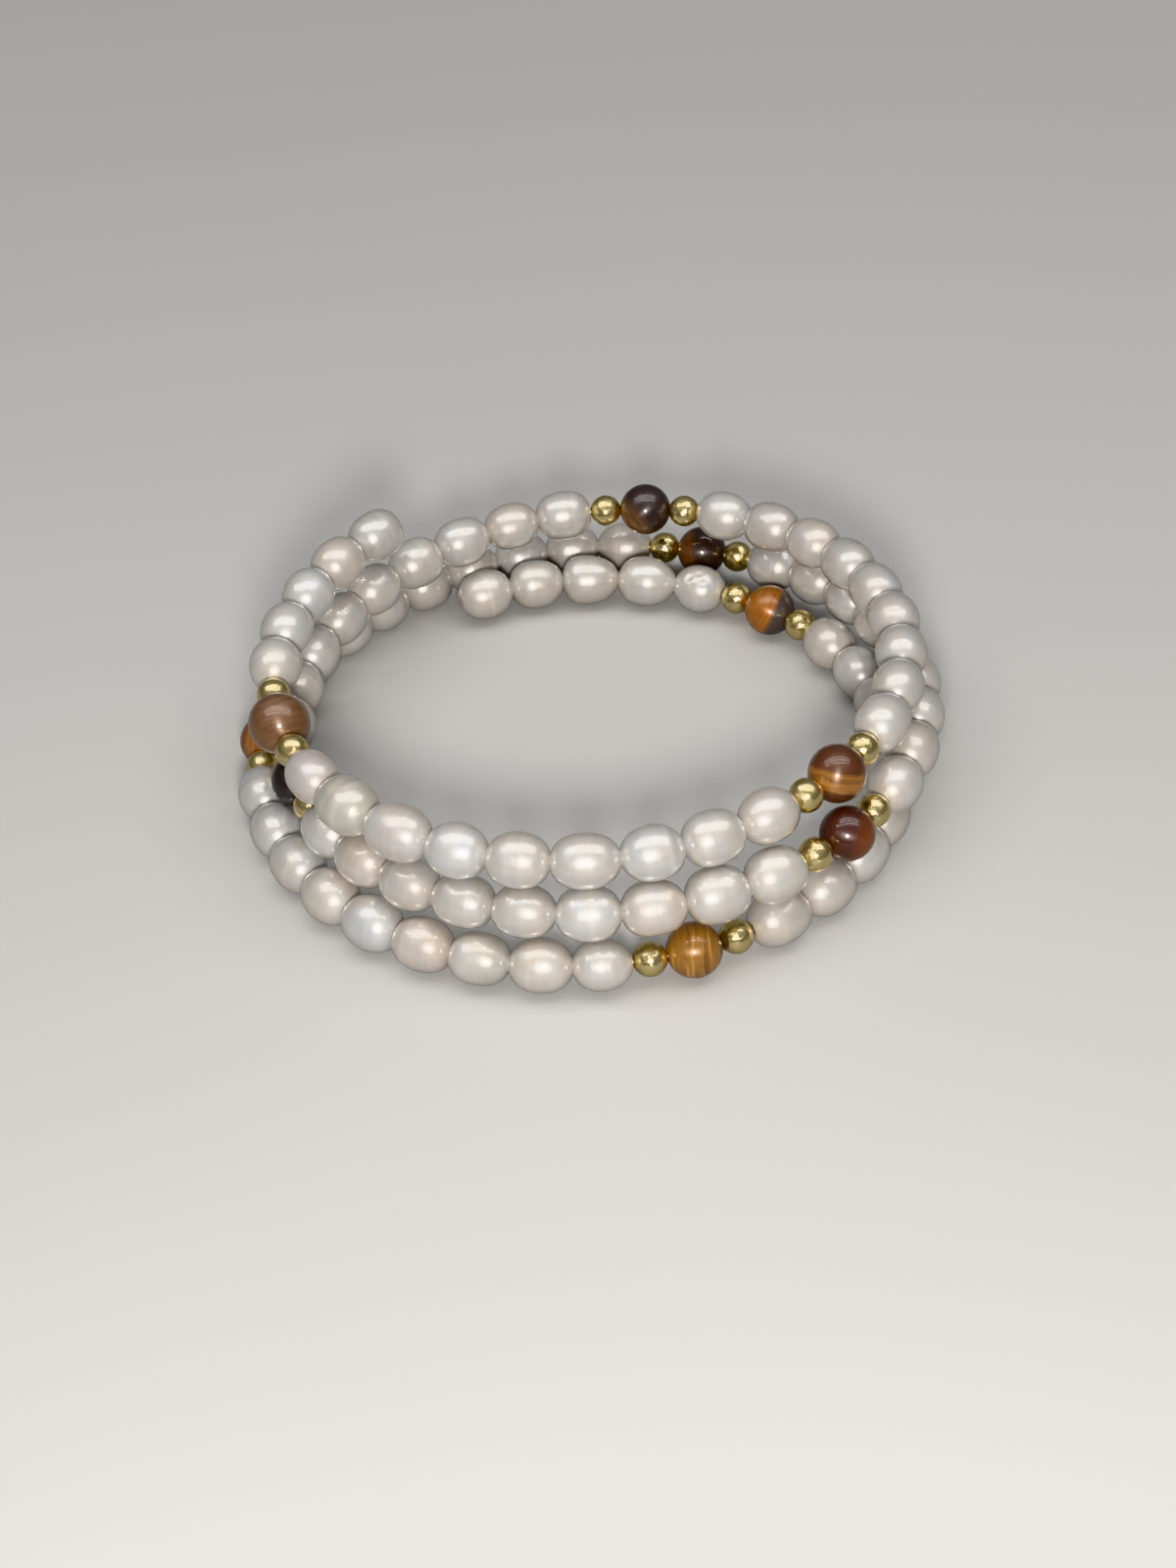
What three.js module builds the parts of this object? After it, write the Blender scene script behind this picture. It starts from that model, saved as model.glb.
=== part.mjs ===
// A pearl wrap bracelet lying on a surface, in millimetres, +Z up.
//
// One hard memory wire coils just under three times round the wrist opening. It is
// threaded with runs of rice pearls, and between two runs sit a gold bead, a tiger's-eye
// ball and another gold bead. The upper end of the wire is on top at the back left, and
// the lower end lies on the surface, just inside the other coils at the back. The origin
// is on the surface, under the middle of the coil.

import * as THREE from 'three';

// --- Driving dimensions -----------------------------------------------------------------

const WIRE = { diameter: 0.7, sides: 6, insetAtEnds: 2.2 };
const BORE_DIAMETER = 1.4;
const PEARL = { diameter: 5.9, drilledFlat: 2.5, fullness: 2.2, sides: 8 };
const TIGER_EYE = { sides: 12, rings: 7 };
const GOLD_BEAD = { diameter: 3.75, sides: 8, rings: 5 };
const BEAD_GAP = 0.15; // clear gap, measured on the wire, beside each gold bead

// The tiger's-eye balls' diameters, from the upper end of the wire to its lower end.
const TIGER_EYE_DIAMETERS = [6.8, 6.3, 6.15, 6.0, 6.0, 6.0, 6.0, 6.0, 6.0];

// The rings that draw a pearl's outline, as fractions of its half length.
const PEARL_RINGS = [-0.78, -0.42, 0, 0.42, 0.78];

// The runs of pearls, from the upper end of the wire to its lower end.
const PEARL_RUNS = [
  { pearls: 5, pearlLength: 6.49 },
  { pearls: 9, pearlLength: 6.63 },
  { pearls: 9, pearlLength: 6.69 },
  { pearls: 9, pearlLength: 6.65 },
  { pearls: 9, pearlLength: 6.75 },
  { pearls: 9, pearlLength: 6.71 },
  { pearls: 9, pearlLength: 6.46 },
  { pearls: 9, pearlLength: 6.64 },
  { pearls: 9, pearlLength: 6.71 },
  { pearls: 5, pearlLength: 6.57 },
];

// The pearls that differ plainly from the rest of their run.
const ODD_PEARLS = [
  { run: 2, pearl: 1, diameter: 5.5, length: 6.45 },
  { run: 2, pearl: 2, diameter: 6.1, length: 6.9 },
  { run: 2, pearl: 3, diameter: 6.1, length: 7.6 },
  { run: 2, pearl: 6, diameter: 5.9, length: 7.2 },
  { run: 4, pearl: 2, diameter: 5.7, length: 6.45 },
  { run: 5, pearl: 4, diameter: 5.7, length: 6.75 },
  { run: 5, pearl: 5, diameter: 5.7, length: 6.75 },
  { run: 5, pearl: 8, diameter: 6.1, length: 6.8 },
  { run: 8, pearl: 4, diameter: 6.1, length: 6.75 },
  { run: 8, pearl: 5, diameter: 6.1, length: 6.75 },
  { run: 8, pearl: 7, diameter: 5.6, length: 6.45 },
  { run: 8, pearl: 9, diameter: 5.5, length: 6.15 },
  { run: 9, pearl: 1, diameter: 5.9, length: 7.0 },
  { run: 10, pearl: 1, diameter: 5.8, length: 6.2 },
  { run: 10, pearl: 2, diameter: 6.1, length: 7.1 },
  { run: 10, pearl: 3, diameter: 5.9, length: 6.9 },
];

// The wire's route: its distance from the coil's axis and its height above the surface,
// every STATION_STEP degrees counter-clockwise, with the first row at FIRST_AZIMUTH.
const FIRST_AZIMUTH = 129.6;
const STATION_STEP = 60;
const STATIONS = [
  { radius: 34.6, height: 16.6 },
  { radius: 35.6, height: 14.9 },
  { radius: 35.3, height: 14.7 },
  { radius: 34.1, height: 14.7 },
  { radius: 34.7, height: 13.9 },
  { radius: 36.2, height: 11.0 },
  { radius: 35.2, height: 9.2 },
  { radius: 34.6, height: 7.7 },
  { radius: 36.2, height: 8.7 },
  { radius: 37.0, height: 9.2 },
  { radius: 36.4, height: 7.7 },
  { radius: 38.5, height: 3.8 },
  { radius: 38.3, height: 3.1 },
  { radius: 38.2, height: 3.1 },
  { radius: 38.4, height: 3.1 },
  { radius: 36.4, height: 3.0 },
  { radius: 32.7, height: 3.3 },
  { radius: 31.7, height: 3.1 },
  { radius: 32.8, height: 3.3 },
];

// Where the coil's axis stands, so that the whole coil is centred on the origin.
const COIL_AXIS = new THREE.Vector3(0.9, -0.4, 0);

// --- The wire's route -------------------------------------------------------------------

// Radius and height follow a smooth curve through the stations while the azimuth turns.
class WireRoute extends THREE.Curve {
  constructor() {
    super();
    this.arcLengthDivisions = 4000;
    this.section = new THREE.SplineCurve(
      STATIONS.map(({ radius, height }) => new THREE.Vector2(radius, height)));
  }

  getPoint(t, target = new THREE.Vector3()) {
    const { x: radius, y: height } = this.section.getPoint(t);
    const turned = t * (STATIONS.length - 1) * STATION_STEP;
    const azimuth = THREE.MathUtils.degToRad(FIRST_AZIMUTH + turned);
    target.set(radius * Math.cos(azimuth), radius * Math.sin(azimuth), height);
    return target.add(COIL_AXIS);
  }
}

const route = new WireRoute();
const routeLength = route.getLength();

// The frame on the wire at a distance along it: X points away from the coil's axis,
// Y runs along the wire and Z completes them.
function frameOnWire(along) {
  const origin = route.getPointAt(along / routeLength);
  const axis = route.getTangentAt(along / routeLength);
  const outward = origin.clone().sub(COIL_AXIS).setZ(0);
  outward.addScaledVector(axis, -outward.dot(axis)).normalize();
  const up = new THREE.Vector3().crossVectors(outward, axis);
  return new THREE.Matrix4().makeBasis(outward, axis, up).setPosition(origin);
}

// --- The beads in their order on the wire -----------------------------------------------

// A ball drilled through is shorter than its diameter.
function drilledLength({ diameter }) {
  return Math.sqrt(diameter ** 2 - BORE_DIAMETER ** 2);
}

function pearlSizes(run, pearl) {
  const odd = ODD_PEARLS.find((row) => row.run === run && row.pearl === pearl);
  return odd ?? { diameter: PEARL.diameter, length: PEARL_RUNS[run - 1].pearlLength };
}

// Lays the beads end to end on the wire and returns the runs, stones and gold beads, each
// bead with the distance of its middle along the wire, and every joint between two beads.
function threadBeads() {
  const runs = [];
  const stones = [];
  const golds = [];
  const joints = [];
  let along = 0;

  function thread(length, gapAfter) {
    const centre = along + length / 2;
    along += length + gapAfter;
    joints.push(along - gapAfter / 2);
    return centre;
  }

  PEARL_RUNS.forEach(({ pearls }, index) => {
    const run = [];
    for (let pearl = 1; pearl <= pearls; pearl += 1) {
      const { diameter, length } = pearlSizes(index + 1, pearl);
      const gapAfter = pearl === pearls ? BEAD_GAP : 0;
      run.push({ diameter, length, centre: thread(length, gapAfter) });
    }
    runs.push(run);
    if (index < PEARL_RUNS.length - 1) {
      golds.push({ centre: thread(drilledLength(GOLD_BEAD), BEAD_GAP) });
      const diameter = TIGER_EYE_DIAMETERS[index];
      stones.push({ diameter, centre: thread(drilledLength({ diameter }), BEAD_GAP) });
      golds.push({ centre: thread(drilledLength(GOLD_BEAD), BEAD_GAP) });
    }
  });

  joints.pop();
  return { runs, stones, golds, joints, end: along - BEAD_GAP };
}

// --- Shapes -----------------------------------------------------------------------------

// A lathe strung on the wire. Each point of the profile is { radius, along, frameAt }: its
// ring keeps the plane of the frame at frameAt and is set off along that frame's axis.
function strungLathe(profile, sides) {
  const points = profile.map(({ radius, along }) => new THREE.Vector2(radius, along));
  const geometry = new THREE.LatheGeometry(points, sides);
  const frames = profile.map(({ frameAt }) => frameOnWire(frameAt));
  const position = geometry.attributes.position;
  const vertex = new THREE.Vector3();
  for (let i = 0; i < position.count; i += 1) {
    const row = i % profile.length;
    vertex.fromBufferAttribute(position, i);
    vertex.y = profile[row].along - profile[row].frameAt;
    vertex.applyMatrix4(frames[row]);
    position.setXYZ(i, vertex.x, vertex.y, vertex.z);
  }
  geometry.computeVertexNormals();
  return geometry;
}

// The radius of a rice pearl at a distance from its middle: a rounded oval that is cut
// off at each drilled end, where its radius is that of the small flat round the hole.
function pearlRadius(pearl, fromMiddle) {
  const power = PEARL.fullness;
  const flat = (PEARL.drilledFlat / pearl.diameter) ** power;
  const reach = pearl.length / 2 / (1 - flat) ** (1 / power);
  return pearl.diameter / 2 * (1 - (Math.abs(fromMiddle) / reach) ** power) ** (1 / power);
}

// One run of touching pearls with the bore through it. A run at an end of the wire is
// closed there, so that its last pearl hides the tip of the wire.
function pearlRunGeometry(run, { closedStart, closedEnd }) {
  const first = run[0];
  const last = run[run.length - 1];
  const start = { along: first.centre - first.length / 2, frameAt: first.centre };
  const end = { along: last.centre + last.length / 2, frameAt: last.centre };
  const flat = PEARL.drilledFlat / 2;
  const bore = BORE_DIAMETER / 2;

  const outside = [{ ...start, radius: flat }];
  const necks = [];
  for (const pearl of run) {
    for (const fraction of PEARL_RINGS) {
      const fromMiddle = fraction * pearl.length / 2;
      const along = pearl.centre + fromMiddle;
      outside.push({ along, frameAt: pearl.centre, radius: pearlRadius(pearl, fromMiddle) });
    }
    if (pearl !== last) {
      const along = pearl.centre + pearl.length / 2;
      outside.push({ along, frameAt: along, radius: flat });
      necks.push({ along, frameAt: along, radius: bore });
    }
  }
  outside.push({ ...end, radius: flat });

  const tipAtStart = { ...start, along: start.along + WIRE.insetAtEnds - 2 * BEAD_GAP };
  const tipAtEnd = { ...end, along: end.along - WIRE.insetAtEnds + 2 * BEAD_GAP };
  const boreStart = closedStart ? tipAtStart : start;
  const boreEnd = closedEnd ? tipAtEnd : end;
  const inside = [
    { ...boreStart, radius: bore },
    ...necks,
    { ...boreEnd, radius: bore },
  ].reverse();

  let profile = [...outside, ...inside, outside[0]];
  if (closedStart) {
    profile = [{ ...start, radius: 0 }, ...outside, ...inside, { ...tipAtStart, radius: 0 }];
  }
  if (closedEnd) {
    profile = [{ ...tipAtEnd, radius: 0 }, ...inside, ...outside, { ...end, radius: 0 }];
  }
  return strungLathe(profile, PEARL.sides);
}

// A ball with the bore through it: an arc from one edge of the hole to the other.
function ballGeometry({ diameter, sides, rings }, centre) {
  const edge = Math.acos(BORE_DIAMETER / diameter);
  const arc = Array.from({ length: rings }, (_, ring) => {
    const angle = THREE.MathUtils.lerp(-edge, edge, ring / (rings - 1));
    const along = centre + diameter / 2 * Math.sin(angle);
    return { along, frameAt: centre, radius: diameter / 2 * Math.cos(angle) };
  });
  return strungLathe([...arc, arc[0]], sides);
}

// The wire, with one ring at each joint between beads.
function wireGeometry(joints, end) {
  const radius = WIRE.diameter / 2;
  const tips = [WIRE.insetAtEnds, end - WIRE.insetAtEnds];
  const places = [tips[0], ...joints, tips[1]];
  const rings = places.map((along) => ({ along, frameAt: along, radius }));
  const caps = tips.map((along) => ({ along, frameAt: along, radius: 0 }));
  return strungLathe([caps[0], ...rings, caps[1]], WIRE.sides);
}

// --- Materials --------------------------------------------------------------------------

const pearlNacre = new THREE.MeshStandardMaterial({ color: 0xe6dcd3, roughness: 0.3 });
const polishedStone = new THREE.MeshStandardMaterial({ color: 0x6b3a16, roughness: 0.15 });
const goldPlate = new THREE.MeshStandardMaterial({ color: 0xd9b15a, roughness: 0.2, metalness: 1 });
const springSteel = new THREE.MeshStandardMaterial({ color: 0xb4b6b9, roughness: 0.3, metalness: 1 });

// --- The bracelet -----------------------------------------------------------------------

const bracelet = new THREE.Group();

function addPiece(name, geometry, material) {
  const mesh = new THREE.Mesh(geometry, material);
  mesh.name = name;
  bracelet.add(mesh);
}

const beads = threadBeads();

addPiece('memory_wire', wireGeometry(beads.joints, beads.end), springSteel);

beads.runs.forEach((run, index) => {
  const closed = { closedStart: index === 0, closedEnd: index === beads.runs.length - 1 };
  const number = String(index + 1).padStart(2, '0');
  addPiece(`pearl_run_${number}`, pearlRunGeometry(run, closed), pearlNacre);
});

beads.stones.forEach(({ diameter, centre }, index) => {
  const geometry = ballGeometry({ ...TIGER_EYE, diameter }, centre);
  addPiece(`tiger_eye_${index + 1}`, geometry, polishedStone);
});

beads.golds.forEach(({ centre }, index) => {
  const number = String(index + 1).padStart(2, '0');
  addPiece(`gold_bead_${number}`, ballGeometry(GOLD_BEAD, centre), goldPlate);
});

export default bracelet;
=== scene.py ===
# %% [markdown]
# # A pearl wrap bracelet in Blender
#
# The real thing is one springy wire, wound just under three times round and threaded with
# rice pearls. Nine polished tiger's-eye balls break the string up, each between two small
# gold beads. Nobody pinned it in place: it lies on a table as its own spring holds it.
#
# The construction is already settled in the loaded frame, one faceted solid for each node.
# This lesson lays a fine surface over every one of them: pearls with growth rings and
# blunt drilled ends, banded stone, polished gold and the wire that shows in the gaps.

import bpy
import numpy as np
from mathutils import Matrix, Vector


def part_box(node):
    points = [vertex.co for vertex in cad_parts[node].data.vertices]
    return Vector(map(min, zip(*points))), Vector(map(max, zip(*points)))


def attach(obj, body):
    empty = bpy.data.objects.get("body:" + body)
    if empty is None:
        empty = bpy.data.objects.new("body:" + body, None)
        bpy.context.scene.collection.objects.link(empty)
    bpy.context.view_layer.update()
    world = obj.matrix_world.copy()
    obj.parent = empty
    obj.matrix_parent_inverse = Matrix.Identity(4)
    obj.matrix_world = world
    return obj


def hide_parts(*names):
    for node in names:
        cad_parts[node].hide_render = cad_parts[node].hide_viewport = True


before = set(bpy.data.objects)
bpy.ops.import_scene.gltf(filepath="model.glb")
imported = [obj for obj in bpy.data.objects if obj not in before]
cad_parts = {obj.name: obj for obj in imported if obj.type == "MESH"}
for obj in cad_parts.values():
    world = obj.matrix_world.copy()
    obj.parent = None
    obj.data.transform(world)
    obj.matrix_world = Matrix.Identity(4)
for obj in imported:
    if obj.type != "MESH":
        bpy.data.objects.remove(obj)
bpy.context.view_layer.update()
MM = 0.001  # the shapes are worked out in millimetres, and Blender counts in metres

# %% [markdown]
# ## The route of the wire
#
# A coil that has relaxed on a table isn't a clean helix: the turns lean, bulge and slip
# off each other. A short table says how far the wire is from the coil's axis and how high
# it runs, once every sixth of a turn, and a smooth curve passes through the rows. The
# table repeats the one that the solids were made from, so both follow one route. Its rows
# weren't chosen by hand: they are the rounded result of a least-squares fit.

# %% The wire's stations
FIRST_AZIMUTH = 129.6  # degrees, where the first row stands
STATION_STEP = 60.0  # degrees from row to row, counter-clockwise
STATIONS = np.array([  # distance from the coil's axis, height above the table
    (34.6, 16.6), (35.6, 14.9), (35.3, 14.7), (34.1, 14.7), (34.7, 13.9), (36.2, 11.0),
    (35.2, 9.2), (34.6, 7.7), (36.2, 8.7), (37.0, 9.2), (36.4, 7.7), (38.5, 3.8),
    (38.3, 3.1), (38.2, 3.1), (38.4, 3.1), (36.4, 3.0), (32.7, 3.3), (31.7, 3.1),
    (32.8, 3.3),
])
COIL_AXIS = np.array([0.9, -0.4, 0.0])
ROUTE_SAMPLES = 12001


def through_rows(rows, place):
    """A smooth curve through rows at places 0, 1, 2...: between two rows the cubic whose
    slope at each is half the step between that row's neighbours, with the ends doubled."""
    padded = np.vstack([rows[:1], rows, rows[-1:]])
    start = np.clip(place.astype(int), 0, len(rows) - 2)
    t = (place - start)[:, None]
    before, here, after, beyond = (padded[start + k] for k in range(4))
    slope_here = (after - before) / 2
    slope_after = (beyond - here) / 2
    cubic = 2 * here - 2 * after + slope_here + slope_after
    square = -3 * here + 3 * after - 2 * slope_here - slope_after
    return ((cubic * t + square) * t + slope_here) * t + here


place = np.linspace(0, len(STATIONS) - 1, ROUTE_SAMPLES)
radius, height = through_rows(STATIONS, place).T
azimuth = np.radians(FIRST_AZIMUTH + STATION_STEP * place)
route = np.stack([radius * np.cos(azimuth), radius * np.sin(azimuth), height], 1) + COIL_AXIS
steps = np.linalg.norm(np.diff(route, axis=0), axis=1)
route_along = np.concatenate([[0.0], np.cumsum(steps)])
route_axis = np.gradient(route, route_along, axis=0)
route_axis /= np.linalg.norm(route_axis, axis=1)[:, None]

print("wire route: %.1f mm long" % route_along[-1])

# %% Frames on the wire


def on_route(table, along):
    """The rows of a table kept along the route, read at distances along the wire."""
    return np.stack([np.interp(along, route_along, column) for column in table.T], -1)


def frames_at(along):
    """Points on the wire and, at each, three unit vectors: outward from the coil's axis,
    forward along the wire, and their cross product, which points mostly up."""
    along = np.atleast_1d(along)
    origin = on_route(route, along)
    forward = on_route(route_axis, along)
    forward /= np.linalg.norm(forward, axis=1)[:, None]
    outward = (origin - COIL_AXIS) * (1, 1, 0)
    outward -= (outward * forward).sum(1)[:, None] * forward
    outward /= np.linalg.norm(outward, axis=1)[:, None]
    return origin, np.stack([outward, forward, np.cross(outward, forward)], 1)


# %% [markdown]
# ## Threading the beads
#
# A real string has no gaps to spare, so each bead's place follows from the lengths of all
# the beads before it. The runs of pearls differ a little in mean length, as graded pearls
# do, and a few pearls stand out plainly: one long barrel, some plump and some small ones.
# The mean lengths come from the same fit as the route, less what the larger beads took up
# later. The other sizes were measured and then rounded.

# %% Sizes and order of the beads
BORE = 1.4  # diameter of the holes in the frame's solids, which sets the beads' places
HOLE = 0.42  # radius of the holes that are made here, just wider than the wire
BEAD_GAP = 0.15  # beside each gold bead
PEARL_DIAMETER = 5.9
GOLD_DIAMETER = 3.75
STANDARD_STONE = 6.0
STONE_DIAMETERS = (6.8, 6.3, 6.15) + 6 * (STANDARD_STONE,)
WIRE_DIAMETER = 0.7
WIRE_INSET = 2.2  # how deep the wire's tips hide in the end pearls

RUNS = [  # pearls in the run, mean length of one pearl
    (5, 6.49), (9, 6.63), (9, 6.69), (9, 6.65), (9, 6.75),
    (9, 6.71), (9, 6.46), (9, 6.64), (9, 6.71), (5, 6.57),
]
ODD_PEARLS = {  # (run, pearl): diameter, length
    (2, 1): (5.5, 6.45), (2, 2): (6.1, 6.9), (2, 3): (6.1, 7.6), (2, 6): (5.9, 7.2),
    (4, 2): (5.7, 6.45), (5, 4): (5.7, 6.75), (5, 5): (5.7, 6.75), (5, 8): (6.1, 6.8),
    (8, 4): (6.1, 6.75), (8, 5): (6.1, 6.75), (8, 7): (5.6, 6.45), (8, 9): (5.5, 6.15),
    (9, 1): (5.9, 7.0), (10, 1): (5.8, 6.2), (10, 2): (6.1, 7.1), (10, 3): (5.9, 6.9),
}


def drilled_length(diameter):
    """A ball with a hole through it loses a cap at each end: by Pythagoras, its length is
    the root of its diameter squared less the hole's diameter squared."""
    return (diameter**2 - BORE**2) ** 0.5


def thread_beads():
    """Lays the beads end to end. Gives the pearls by run, as dictionaries, and the middles
    of the stones and the gold beads, as distances along the wire, and the whole length."""
    runs, stones, golds = [], [], []
    along = 0.0
    for run, (count, mean_length) in enumerate(RUNS, 1):
        pearls = []
        for number in range(1, count + 1):
            diameter, length = ODD_PEARLS.get((run, number), (PEARL_DIAMETER, mean_length))
            pearls.append(dict(run=run, number=number, diameter=diameter, length=length,
                               centre=along + length / 2))
            along += length
        runs.append(pearls)
        along += BEAD_GAP
        if run < len(RUNS):
            for kind, diameter in ((golds, GOLD_DIAMETER), (stones, STONE_DIAMETERS[run - 1]),
                                   (golds, GOLD_DIAMETER)):
                length = drilled_length(diameter)
                kind.append(along + length / 2)
                along += length + BEAD_GAP
    return runs, stones, golds, along - BEAD_GAP


runs, stones, golds, string_length = thread_beads()
print("beads:", sum(map(len, runs)), "pearls,", len(stones), "stones,", len(golds), "gold,",
      "%.1f mm of string" % string_length)

# %% [markdown]
# ## The camera
#
# It looks down at the bracelet from the front, a third of a metre away, and it is tilted a
# little to one side, as a hand-held camera is. Its values come from the same fit, and its
# place is worked out from them: a line of sight at the given elevation, and the small
# offset of the coil in the view.

# %% Placing the camera
VIEW_ELEVATION = np.radians(38.84)
VIEW_DISTANCE = 325.8  # mm from the coil's axis at table height
VIEW_OFFSET = (1.32, -2.60)  # mm that the coil stands right of and below the view's middle
VIEW_ROLL = np.radians(-3.646)
LENS = 65.06  # mm
SENSOR = 36.0  # mm, its longer side

sine, cosine = np.sin(VIEW_ELEVATION), np.cos(VIEW_ELEVATION)
sight = np.array([0.0, cosine, -sine])
level_right = np.array([1.0, 0.0, 0.0])
level_down = np.array([0.0, -sine, -cosine])
eye = (COIL_AXIS - VIEW_DISTANCE * sight
       - VIEW_OFFSET[0] * level_right - VIEW_OFFSET[1] * level_down)
right = np.cos(VIEW_ROLL) * level_right - np.sin(VIEW_ROLL) * level_down
down = np.sin(VIEW_ROLL) * level_right + np.cos(VIEW_ROLL) * level_down

camera_data = bpy.data.cameras.new("camera")
camera_data.lens = LENS
camera_data.sensor_width = SENSOR
camera_data.clip_start = 0.01
camera = bpy.data.objects.new("camera", camera_data)
turn = Matrix([right, -down, -sight]).transposed().to_4x4()
camera.matrix_world = Matrix.Translation(Vector(eye * MM)) @ turn
bpy.context.collection.objects.link(camera)
bpy.context.scene.camera = camera

print("camera at", np.round(eye, 1), "mm")

# %% [markdown]
# ## Revolved surfaces on a frame
#
# Pearls, stones and gold beads are all surfaces of revolution with something added. Each
# is a grid: rings along the bead and steps round it. The rings run over the outside and
# come back through the bore, so that the grid closes on itself like a ring doughnut and
# has no poles. An end pearl isn't drilled through, so its grid ends on two poles instead.
# Working in arrays keeps this quick, and lets one formula shape every point at once.

# %% Grid topology


def loop_faces(rings, steps):
    """Quads of a grid that closes both ways: ring j to ring j + 1, step i to step i + 1,
    both wrapping round. The corners run so that the faces point away from the material."""
    j, i = np.meshgrid(np.arange(rings), np.arange(steps), indexing="ij")
    j2, i2 = (j + 1) % rings, (i + 1) % steps
    corners = np.stack([j * steps + i, j2 * steps + i, j2 * steps + i2, j * steps + i2], -1)
    return corners.reshape(-1, 4)


def capped_faces(rings, steps):
    """The same grid open between its last and first ring, with a fan of triangles to one
    pole before the first ring and one after the last. The poles are the two points that
    follow the grid's own."""
    quads = loop_faces(rings, steps)[: (rings - 1) * steps]
    i = np.arange(steps)
    i2 = (i + 1) % steps
    first, last = rings * steps, rings * steps + 1
    start = np.stack([np.full(steps, first), i, i2], -1)
    end = (rings - 1) * steps
    finish = np.stack([np.full(steps, last), end + i2, end + i], -1)
    return quads, np.vstack([start, finish])


def round_points(radius, along):
    """Points of the grid in a bead's own frame: radius times the cosine outward, the
    distance along the thread, radius times the sine upward. radius is (rings, steps)."""
    angle = np.linspace(0, 2 * np.pi, radius.shape[1], endpoint=False)
    along = np.broadcast_to(along[:, None], radius.shape)
    return np.stack([radius * np.cos(angle), along, radius * np.sin(angle)], -1)


def place_straight(own, centre):
    """A hard round ball keeps its own frame: its middle's place on the wire."""
    (origin,), (axes,) = frames_at(centre)
    return origin + own @ axes


def place_along(own, centre):
    """A string of touching pearls bends with the wire: every ring stands square to the
    wire where the wire passes it, so that two neighbours meet face to face."""
    origin, axes = frames_at(centre + own[:, 0, 1])
    across = own * (1, 0, 1)
    return origin[:, None] + np.einsum("rsk,rkc->rsc", across, axes)


print("a grid of 4 by 8 has", len(loop_faces(4, 8)), "quads")

# %% Turning arrays into a mesh piece


def stack_values(parts, key):
    """One array of a value kept on points, for all parts. A part may give one value for
    each of its points, or a single value for all of them."""
    rows = []
    for part in parts:
        value = np.asarray(part["values"][key], dtype=float)
        count = len(part["points"])
        if value.ndim < 2 and value.shape != (count,):
            value = np.broadcast_to(value, (count,) + value.shape)
        rows.append(value)
    return np.concatenate(rows)


def make_piece(name, node, material, parts):
    """One mesh object from several parts. A part is a dictionary with points (n, 3) in mm,
    a list of face arrays that count from its own first point, and values to keep on its
    points, numbers or vectors or colours. The piece stands for its CAD node."""
    starts = np.cumsum([0] + [len(part["points"]) for part in parts])
    faces = [block + start for part, start in zip(parts, starts) for block in part["faces"]]
    sizes = np.concatenate([np.full(len(block), block.shape[1]) for block in faces])
    corners = np.concatenate([block.ravel() for block in faces])
    points = np.concatenate([part["points"] for part in parts]) * MM

    mesh = bpy.data.meshes.new(name)
    mesh.vertices.add(len(points))
    mesh.vertices.foreach_set("co", points.astype(np.float32).ravel())
    mesh.loops.add(len(corners))
    mesh.loops.foreach_set("vertex_index", corners.astype(np.int32))
    mesh.polygons.add(len(sizes))
    first_corner = np.concatenate([[0], np.cumsum(sizes)[:-1]])
    mesh.polygons.foreach_set("loop_start", first_corner.astype(np.int32))
    mesh.update(calc_edges=True)
    mesh.validate()
    mesh.shade_smooth()

    kinds = {1: ("FLOAT", "value"), 3: ("FLOAT_VECTOR", "vector"), 4: ("FLOAT_COLOR", "color")}
    for key in parts[0]["values"]:
        values = stack_values(parts, key)
        kind, field = kinds[values.shape[1] if values.ndim == 2 else 1]
        attribute = mesh.attributes.new(key, kind, "POINT")
        attribute.data.foreach_set(field, values.astype(np.float32).ravel())

    mesh.materials.append(material)
    piece = bpy.data.objects.new(name, mesh)
    bpy.context.collection.objects.link(piece)
    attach(piece, "root")
    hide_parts(node)
    reach = np.array([points.min(0), points.max(0)]) - np.array([list(c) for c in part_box(node)])
    print("%s: %d faces, %.2f mm from the box of %s"
          % (name, len(sizes), np.abs(reach).max() / MM, node))
    return piece


# %% [markdown]
# ## The shape of a rice pearl
#
# A freshwater pearl grows round a slip of tissue and comes out as a plump grain: full in
# the middle, blunt at the drilled ends, and never quite true. Four things make one look
# grown and not turned: one end is slimmer, the section isn't a perfect circle, faint rings
# run round it where growth paused, and here and there the skin has a shallow pit. All four
# are small factors on the radius, so the grid stays a clean revolve underneath.

# %% The profile of a pearl
PEARL_STEPS = 72
PEARL_RINGS = 53
END_RADIUS = 0.88  # of the blunt end, where it meets its neighbour's
END_TRIM = 0.006  # each pearl stops this short of its neighbour
RIM = 0.14  # the rounding at the mouth of the drilled hole


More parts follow.
